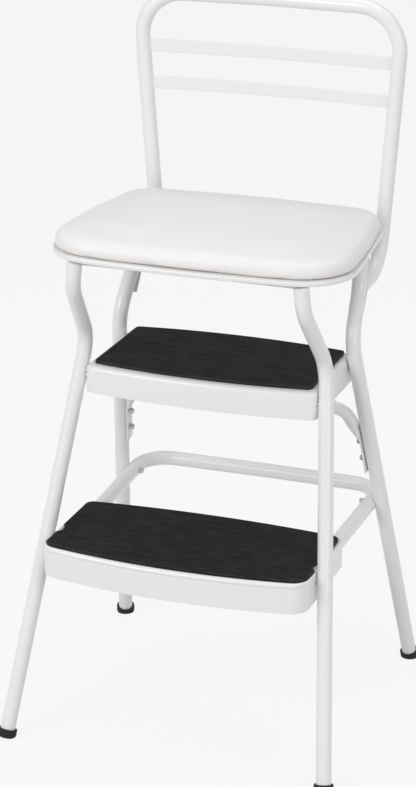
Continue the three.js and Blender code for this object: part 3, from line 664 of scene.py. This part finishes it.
low_rings = [low_ring(0, low_skirt_z)]
low_rings += [low_ring(share, z * mm) for share, z in bead_line]
low_tray = skin(low_rings, first_face=False)
face_outwards(low_tray)
bpy.ops.object.mode_set(mode="EDIT")
bpy.ops.mesh.select_mode(type="FACE")
slot_planes = [((side * x, 0, 0), (1, 0, 0)) for side in (-1, 1) for x in slot_reach]
slot_planes.append(((0, 0, slot_top), (0, 0, 1)))
for through, facing in slot_planes:
    select_rear_skirt(lambda middle: True)
    bpy.ops.mesh.bisect(plane_co=through, plane_no=facing)
select_rear_skirt(
    lambda middle: slot_reach[0] < abs(middle.x) < slot_reach[1] and middle.z < slot_top
)
bpy.ops.mesh.delete(type="FACE")
bpy.ops.mesh.select_mode(type="VERT")
bpy.ops.object.mode_set(mode="OBJECT")
apply_modifier(low_tray, "SOLIDIFY", thickness=sheet, offset=-1.0)
finish_piece(
    low_tray, "lower_step_pressing", white_enamel, "frame", ["lower_step_tray"]
)

# Lower step mat
# The same ribbed rubber, laid in the well of the lower step, with a notch beside each leg.
low_mat_plan = {
    "front_half": 169.87 * mm,
    "rear_half": 169.87 * mm,
    "front_y": -160.54 * mm,
    "rear_y": -17.44 * mm,
    "front_bow": 16 * mm,
    "rear_bow": 10 * mm,
    "front_round": 12 * mm,
    "rear_round": 9 * mm,
}
low_mat_bottom = 253.3 * mm
low_mat_top = 257.3 * mm
notch_depth = 5 * mm
notch_middle = -110.34 * mm
notch_half = 11.5 * mm
mat_side_points = 60


def low_mat_ring(inset, z):
    ring = plan_ring(low_mat_plan, inset, z, side_points=mat_side_points)
    for place in ring:
        reach = abs(place.y - notch_middle) / (notch_half + inset)
        if reach < 1 and abs(place.x) > low_mat_plan["front_half"] * 0.9:
            side = math.copysign(1, place.x)
            place.x -= side * notch_depth * (1 - reach**4)
    return ring


low_mat = ribbed_mat(low_mat_ring, low_mat_bottom, low_mat_top)
finish_piece(
    low_mat, "lower_step_ribbed_mat", mat_rubber, "frame", ["lower_step_mat"]
)

# Lower rear bar
# One tube, bent round behind the rear legs, whose arms run forward into the lower step. Each
# arm has a saddle pressed in it where it is bolted to the rear leg. White enamel.
bar_right = [Vector((167.01, 181.66, 246.9)) * mm, Vector((158.19, -134.72, 238.7)) * mm]
bar_left = [Vector((-p.x, p.y, p.z)) for p in reversed(bar_right)]
bar_middle = Vector((0, 183.66, 246.9)) * mm
bar_corner = 40 * mm
bar_sweep = 600 * mm
saddle_y = 129 * mm
saddle_reach = 18 * mm
saddle_cuts = 18
saddle_radius = tube_radius + clearance


def press_saddles(made):
    """Cuts the arms into short rings beside the rear legs, and presses them clear of the legs."""
    bpy.ops.object.mode_set(mode="EDIT")
    for i in range(saddle_cuts + 1):
        bpy.ops.mesh.select_all(action="SELECT")
        cut_y = saddle_y + saddle_reach * (2 * i / saddle_cuts - 1)
        bpy.ops.mesh.bisect(plane_co=(0, cut_y, 0), plane_no=(0, 1, 0))
    bpy.ops.object.mode_set(mode="OBJECT")
    for vertex in made.data.vertices:
        place = vertex.co
        side = math.copysign(1, place.x)
        base = Vector((side * rear_foot.x, rear_foot.y, rear_foot.z))
        run = (Vector((side * rear_knee.x, rear_knee.y, rear_knee.z)) - base).normalized()
        nearest = base + run * (place - base).dot(run)
        if (place - nearest).length < saddle_radius:
            vertex.co = nearest + (place - nearest).normalized() * saddle_radius


bar = bent_tube(
    [*bar_left, bar_middle, *bar_right], [bar_corner, bar_sweep, bar_corner], press=press_saddles
)
finish_piece(bar, "lower_bent_bar", white_enamel, "frame", ["lower_rear_bar"])

# Back frame
# One tube: its top corners are bent and its top rail bowed back, and its lower ends curl
# forward to the rear legs, where studs hold them.
back_y = 192.66 * mm
back_top_z = 880.5 * mm
stud_x = 151 * mm
stud_z = 543 * mm
back_lean = 0.0735
curl_end_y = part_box("back_frame")[0].y
curl_bend = 45 * mm
corner_bend = 55 * mm
rail_sweep = 500 * mm
rail_bow = 10 * mm


def back_x(z):
    return stud_x + back_lean * (z - stud_z)


back_right = [
    Vector((back_x(back_top_z), back_y, back_top_z)),
    Vector((stud_x, back_y, stud_z)),
    Vector((stud_x, curl_end_y, stud_z)),
]
back_left = [Vector((-p.x, p.y, p.z)) for p in reversed(back_right)]
back = bent_tube(
    [*back_left, Vector((0, back_y + rail_bow, back_top_z)), *back_right],
    [curl_bend, corner_bend, rail_sweep, corner_bend, curl_bend],
    rings=14,
)
finish_piece(back, "back_bent_frame", white_enamel, "frame", ["back_frame"])

# Back slats
# Two flat steel strips with rolled edges, bowed back and welded between the uprights.
slat_height = 17 * mm
slat_thickness = 2 * mm
slat_bow = 10 * mm
slat_steps = 36
slat_sides = 24
slat_roundness = 0.3
weld_reach = tube_radius * 0.97


def section(sides, roundness):
    """Places round a section, as shares of its half sizes: a circle at a roundness of 1, and
    nearly a rectangle at 0."""
    places = []
    for k in range(sides):
        angle = 2 * math.pi * k / sides
        out, up = math.cos(angle), math.sin(angle)
        places.append(
            (math.copysign(abs(out) ** roundness, out), math.copysign(abs(up) ** roundness, up))
        )
    return places


def slat(top_z, name):
    middle_z = top_z - slat_height / 2
    rings = []
    for i in range(slat_steps + 1):
        across = 2 * i / slat_steps - 1
        bow = slat_bow * (1 - across**2)
        ring = []
        for out, up in section(slat_sides, slat_roundness):
            y = out * slat_thickness / 2
            z = up * slat_height / 2
            x = across * (back_x(middle_z + z) - weld_reach)
            ring.append(Vector((x, back_y + bow + y, middle_z + z)))
        rings.append(ring)
    made = skin(rings)
    face_outwards(made)
    finish_piece(made, f"{name}_strip", white_enamel, "frame", [name], 40)


slat(820 * mm, "back_slat_upper")
slat(772 * mm, "back_slat_lower")

# Step braces
# A tube under each side of the top step, pressed flat at both ends: the rear end is bolted
# to the rear leg twice, and the front end is riveted to the step's skirt. White enamel.
brace_radius = 8 * mm
brace_flat = 2.8 * mm
brace_flat_width = 17 * mm
brace_tip_z = 297 * mm
brace_flat_top_z = 346 * mm
brace_under = (44.66 * mm, 404 * mm)
brace_rivet = (-35.34 * mm, 444 * mm)
brace_sides = 28
brace_flat_roundness = 0.35
brace_leg_reach = 9.55 * mm
# Shares of the way in x, y and z from the flat on the leg to the run under the step, and how
# flat the tube is there
brace_bend = [
    (0.3, 0.13, 0.25, 0.45),
    (0.47, 0.24, 0.43, 0),
    (0.67, 0.43, 0.67, 0),
    (0.87, 0.68, 0.84, 0),
]
# Shares of the way along and up to the rivet, and how flat the tube is there
brace_run = [
    (0, 0, 0),
    (0.28, 0.32, 0),
    (0.55, 0.65, 0.05),
    (0.73, 0.84, 0.6),
    (0.84, 0.93, 1),
    (1, 1, 1),
    (1.12, 1.03, 1),
]


def brace_stations():
    """Places on the brace's middle line, from the leg to the rivet, each with its flatness."""

    def on_leg(z):
        place = rear_foot.lerp(rear_knee, z / rear_knee.z)
        x = place.x - brace_leg_reach - clearance - brace_flat / 2
        return Vector((x, place.y, z)), 1

    def under_step(along, rise, flat):
        y = brace_under[0] + (brace_rivet[0] - brace_under[0]) * along
        z = brace_under[1] + (brace_rivet[1] - brace_under[1]) * rise
        half = brace_radius + (brace_flat / 2 - brace_radius) * flat
        share = (y - top_plan["front_y"]) / (top_plan["rear_y"] - top_plan["front_y"])
        wall = top_plan["front_half"] + (top_plan["rear_half"] - top_plan["front_half"]) * share
        return Vector((wall - sheet - clearance - half, y, z)), flat

    run = [under_step(*shares) for shares in brace_run]
    leg_end = on_leg(brace_flat_top_z)[0]
    step_end = run[0][0]
    bend = []
    for *shares, flat in brace_bend:
        place = Vector(a + (b - a) * share for a, b, share in zip(leg_end, step_end, shares))
        bend.append((place, flat))
    return [on_leg(brace_tip_z), on_leg(brace_flat_top_z), *bend, *run]


def eased(stations, steps=4):
    """More stations on a smooth line through the given ones."""
    fine = []
    for i in range(len(stations) - 1):
        ends = [stations[min(max(i + k, 0), len(stations) - 1)] for k in (-1, 0, 1, 2)]
        (p0, f0), (p1, f1), (p2, f2), (p3, f3) = ends
        straight = (p2 - p1).length
        m1 = (p2 - p0) * straight / max((p2 - p0).length, 1e-9)
        m2 = (p3 - p1) * straight / max((p3 - p1).length, 1e-9)
        for k in range(steps):
            t = k / steps
            place = (
                p1 * (2 * t**3 - 3 * t**2 + 1)
                + m1 * (t**3 - 2 * t**2 + t)
                + p2 * (3 * t**2 - 2 * t**3)
                + m2 * (t**3 - t**2)
            )
            ease = t * t * (3 - 2 * t)
            fine.append((place, f1 + (f2 - f1) * ease))
    fine.append(stations[-1])
    return fine


def brace_rings():
    stations = eased(brace_stations())
    rings = []
    for i, (place, flat) in enumerate(stations):
        before = stations[max(i - 1, 0)][0]
        after = stations[min(i + 1, len(stations) - 1)][0]
        heading = (after - before).normalized()
        thick = (Vector((1, 0, 0)) - heading * heading.x).normalized()
        wide = heading.cross(thick)
        half_thick = brace_radius + (brace_flat / 2 - brace_radius) * flat
        half_wide = brace_radius + (brace_flat_width / 2 - brace_radius) * flat
        roundness = 1 + (brace_flat_roundness - 1) * flat
        rings.append(
            [
                place + thick * (a * half_thick) + wide * (b * half_wide)
                for a, b in section(brace_sides, roundness)
            ]
        )
    return rings


brace = skin(brace_rings())
face_outwards(brace)
finish_piece(
    brace, "step_brace_tube_right", white_enamel, "frame", ["step_brace_right"], 40
)
mirror_copy(brace, "step_brace_tube_left", "frame", ["step_brace_left"])

# Capped bolts
# Zinc-plated steel: a shank, a hexagon with a chamfer, and a domed cap on the inner side.
bolt_shank = 2.5 * mm
hex_half = 4 * mm
hex_height = 2.6 * mm
hex_chamfer = 0.4 * mm
cap_radius = hex_half * 0.93
cap_height = 2.4 * mm
bolt_sides = 36


def zinc_finish():
    finish = Finish("zinc_plate")
    scratch = finish.noise(160.0, 4.0, finish.stretched((1.0, 0.2, 1.0)))
    return finish.surface(
        {
            "Base Color": finish.mix(scratch, (0.5, 0.5, 0.49), (0.7, 0.7, 0.69)),
            "Metallic": 1.0,
            "Roughness": 0.24 + 0.2 * scratch,
            "Normal": finish.bump(scratch, 0.1, 0.05 * mm),
        }
    )


zinc_plate = zinc_finish()


def capped_bolt(node):
    """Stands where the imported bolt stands: its seat is at the hexagon's outer face."""
    low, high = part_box(f"{node}_right")
    middle_y = (low.y + high.y) / 2
    middle_z = (low.z + high.z) / 2
    seat_x = low.x + hex_height + cap_height
    rings = []

    def ring(height, radius_at):
        places = []
        for k in range(bolt_sides):
            angle = 2 * math.pi * k / bolt_sides
            radius = radius_at(angle)
            y = middle_y + radius * math.cos(angle)
            z = middle_z + radius * math.sin(angle)
            places.append(Vector((seat_x - height, y, z)))
        rings.append(places)

    def hexagon(angle):
        turn = (angle + math.pi / 6) % (math.pi / 3) - math.pi / 6
        return hex_half / math.cos(turn)

    ring(seat_x - high.x, lambda a: bolt_shank)
    ring(0, lambda a: bolt_shank)
    ring(0, lambda a: min(hexagon(a), hex_half * 1.06))
    ring(0.3 * mm, hexagon)
    ring(hex_height - hex_chamfer, hexagon)
    ring(hex_height, lambda a: min(hexagon(a), hex_half * 1.04))
    ring(hex_height, lambda a: cap_radius)
    for i in range(1, 7):
        lift = math.radians(90 * i / 6.6)
        radius = cap_radius * math.cos(lift)
        height = hex_height + cap_height * math.sin(lift)
        ring(height, lambda a, r=radius: r)
    made = skin(rings)
    face_outwards(made)
    right = finish_piece(
        made, f"{node}_capped_right", zinc_plate, "frame", [f"{node}_right"], 25
    )
    mirror_copy(right, f"{node}_capped_left", "frame", [f"{node}_left"])


for bolt in (
    "brace_upper_bolt",
    "brace_lower_bolt",
    "bar_bolt",
    "lower_step_bolt",
    "top_step_front_bolt",
    "top_step_rear_bolt",
):
    capped_bolt(bolt)

# Small hardware that is kept from the frame
# The hinge brackets and seat rails are flat steel, welded and enamelled. Pins, studs and
# rivets are zinc-plated, and the rest bumpers are rubber buttons.


def paint(name, material):
    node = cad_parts[name]
    node.data.materials.clear()
    node.data.materials.append(material)


paint("front_seat_rail", white_enamel)
paint("rear_seat_rail", white_enamel)
for hand in ("right", "left"):
    for name, material in (
        ("side_seat_rail", white_enamel),
        ("hinge_bracket", white_enamel),
        ("seat_bumper", black_rubber),
        ("hinge_pin", zinc_plate),
        ("back_stud", zinc_plate),
        ("brace_rivet", zinc_plate),
        ("seat_hinge", zinc_plate),
    ):
        paint(f"{name}_{hand}", material)

# Seat pan
# A shallow steel tray under the cushion, with a rolled rim. White enamel. It lifts with the
# seat, so it rides on that body.
seat_plan = {
    "front_half": 203 * mm,
    "rear_half": 175 * mm,
    "front_y": -108.84 * mm,
    "rear_y": 158.36 * mm,
    "front_bow": 14.6 * mm,
    "rear_bow": 3 * mm,
    "front_round": 70 * mm,
    "rear_round": 43 * mm,
}
# Each ring's inset from the plan, and its height
pan_rings = [
    plan_ring(seat_plan, inset * mm, z * mm)
    for inset, z in (
        (6, 609),
        (4.2, 609.1),
        (3.5, 609.4),
        (3.1, 610.0),
        (3.0, 611.4),
        (2.7, 613.0),
        (2.8, 614.0),
        (3.3, 614.65),
        (3.9, 614.8),
        (4.25, 614.5),
        (4.4, 613.6),
        (4.4, 611.0),
        (8, 610.2),
    )
]
pan = skin(pan_rings)
face_outwards(pan)
finish_piece(pan, "seat_pan_pressing", white_enamel, "seat", ["seat_pan"])

# Seat board
# A board in the pan, which carries the cushion. The cushion's white vinyl cover is drawn
# down over its edge, which is all that can show.


def white_vinyl_finish():
    finish = Finish("white_vinyl")
    grain = finish.node(
        "TexVoronoi",
        {"feature": "DISTANCE_TO_EDGE"},
        {"Vector": finish.place, "Scale": 620.0, "Randomness": 0.9},
        "Distance",
    )
    pores = finish.noise(900.0, 2.0)
    cloud = finish.noise(6.0, 3.0)
    return finish.surface(
        {
            "Base Color": finish.mix(cloud, (0.835, 0.818, 0.805), (0.88, 0.864, 0.85)),
            "Roughness": 0.4 + 0.14 * finish.noise(30.0, 3.0),
            "Normal": finish.bump(grain * 0.7 + pores * 0.3, 0.12, 0.25 * mm),
        }
    )


white_vinyl = white_vinyl_finish()
paint("seat_board", white_vinyl)

# Seat cushion
# White vinyl stretched over foam and tucked in at the pan's rim. It is crowned, its sides bow
# out a little, and air behind the cover swells it, which the cloth step does.
seam_z = 616 * mm
pad_edge_z = 636.5 * mm
pad_crown = 6 * mm
pad_shoulder = 14 * mm
pad_plan = dict(seat_plan, side_bow=3 * mm)
# Shares of the shoulder's inset, of its rise and of the crown's rise
pad_edge = [
    (0.26, 0, 0),
    (0.08, 0.07, 0),
    (0, 0.29, 0),
    (0.03, 0.54, 0),
    (0.19, 0.79, 0),
    (0.5, 0.96, 0),
    (1, 1, 0.12),
]
pad_top = (0.86, 0.66, 0.42, 0.18)
swell_start = 2.6 * mm
swell_frames = 20
swell_cap = 5 * mm
swell_evening = 60
held_height = 3 * mm


def pad_rings():
    rise = pad_edge_z - seam_z
    rings = []
    for inset, up, crown in pad_edge:
        z = seam_z + up * rise + crown * pad_crown
        rings.append(plan_ring(pad_plan, inset * pad_shoulder + swell_start, z))
    rim = rings[-1]
    middle_y = (seat_plan["front_y"] + seat_plan["rear_y"]) / 2
    for share in pad_top:
        lift = 1 + (pad_edge[-1][2] - 1) * share**2
        z = pad_edge_z + lift * pad_crown
        rings.append(
            [Vector((p.x * share, middle_y + (p.y - middle_y) * share, z)) for p in rim]
        )
    return rings


def swell(pad):
    """Lets air behind the cover push it out for twenty frames, by no more than the cap. The
    moves are then evened out between neighbours, because the real cover is drawn tight."""
    apply_modifier(pad, "REMESH", mode="VOXEL", voxel_size=5 * mm)
    rest = [v.co.copy() for v in pad.data.vertices]
    held = pad.vertex_groups.new(name="held")
    low = [v.index for v in pad.data.vertices if v.co.z < seam_z + held_height]
    held.add(low, 1.0, "REPLACE")
    cloth = pad.modifiers.new("air", "CLOTH")
    cloth.settings.use_pressure = True
    cloth.settings.uniform_pressure_force = 4
    cloth.settings.vertex_group_mass = "held"
    cloth.settings.effector_weights.gravity = 0
    for number in range(1, swell_frames + 1):
        bpy.context.scene.frame_set(number)
    pick(pad)
    bpy.ops.object.modifier_apply(modifier=cloth.name)
    shape = bmesh.new()
    shape.from_mesh(pad.data)
    moves = []
    for vertex, place in zip(shape.verts, rest):
        move = vertex.co - place
        moves.append(move * min(1, swell_cap / max(move.length, 0.001 * mm)))
    near = [[e.other_vert(v).index for e in v.link_edges] for v in shape.verts]
    for _ in range(swell_evening):
        moves = [
            (move + sum((moves[k] for k in around), Vector())) / (1 + len(around))
            for move, around in zip(moves, near)
        ]
    for vertex, place, move in zip(shape.verts, rest, moves):
        vertex.co = place + move
        vertex.co.z = max(vertex.co.z, seam_z)
    shape.to_mesh(pad.data)
    shape.free()
    pad.vertex_groups.clear()
    bpy.context.scene.frame_set(1)


pad = skin(pad_rings())
face_outwards(pad)
swell(pad)
apply_modifier(pad, "SUBSURF", levels=1, render_levels=1)
finish_piece(pad, "seat_cushion", white_vinyl, "seat", ["seat_pad"], 60)

# The studio
# A plain pale floor and soft lamps. The camera sees the floor pale, with the chair's soft
# shadow kept, and the lamps stay at a plain level.
backdrop = (0.958, 0.958, 0.958)
shadow_share = 0.13
start_piece()
bpy.ops.mesh.primitive_plane_add(size=40, location=(0, 0, 0))
floor = bpy.context.object
floor.name = "floor"


def floor_finish():
    finish = Finish("floor")
    tree = finish.tree
    rays = finish.node("LightPath", {}, {}, "Is Camera Ray")
    glossy = Signal(finish, rays.socket.node.outputs["Is Glossy Ray"])
    through = Signal(finish, rays.socket.node.outputs["Is Transmission Ray"])
    seen = finish.node("Math", {"operation": "MINIMUM"}, {0: rays + glossy + through, 1: 1.0})
    finish.surface({"Base Color": (0.6, 0.6, 0.6, 1), "Roughness": 0.9, "Specular IOR Level": 0.0})
    pale = finish.node(
        "Emission", {}, {"Color": (*backdrop, 1), "Strength": 1 - shadow_share}, "Emission"
    )
    grey = [level * shadow_share for level in backdrop]
    soft = finish.node("BsdfDiffuse", {}, {"Color": (*grey, 1)}, "BSDF")
    shown = finish.node("AddShader", {}, {0: pale, 1: soft}, "Shader")
    lit = Signal(finish, finish.shader.outputs["BSDF"])
    both = finish.node("MixShader", {}, {0: seen, 1: lit, 2: shown}, "Shader")
    tree.links.new(both.socket, tree.nodes["Material Output"].inputs["Surface"])
    return finish.material


floor.data.materials.append(floor_finish())

world = bpy.data.worlds.new("studio")
bpy.context.scene.world = world
world.use_nodes = True
world.node_tree.nodes["Background"].inputs["Color"].default_value = (1, 1, 1, 1)
world.node_tree.nodes["Background"].inputs["Strength"].default_value = 0.55


def lamp(name, place, aim, size, power):
    data = bpy.data.lights.new(name, "AREA")
    data.shape = "SQUARE"
    data.size = size
    data.energy = power
    made = bpy.data.objects.new(name, data)
    bpy.context.scene.collection.objects.link(made)
    made.location = place
    made.rotation_euler = (Vector(aim) - Vector(place)).to_track_quat("-Z", "Y").to_euler()


lamp("key", (-1.6, -2.6, 2.0), (0, 0, 0.45), 1.6, 42)
lamp("fill", (2.4, -1.6, 1.4), (0, 0, 0.45), 1.6, 18)
lamp("top", (0.2, 0.3, 3.0), (0, 0, 0.4), 1.8, 15)

camera_data = bpy.data.cameras.new("camera")
camera = bpy.data.objects.new("camera", camera_data)
bpy.context.scene.collection.objects.link(camera)
camera_data.sensor_fit = "VERTICAL"
camera_data.sensor_height = 36
camera_data.lens = 114.07
camera.location = (0.9970, -2.7561, 1.5045)
view_line = Vector((-0.3224, 0.8807, -0.3470))
camera.rotation_euler = view_line.to_track_quat("-Z", "Y").to_euler()
bpy.context.scene.camera = camera

bpy.context.scene.view_settings.view_transform = "Standard"
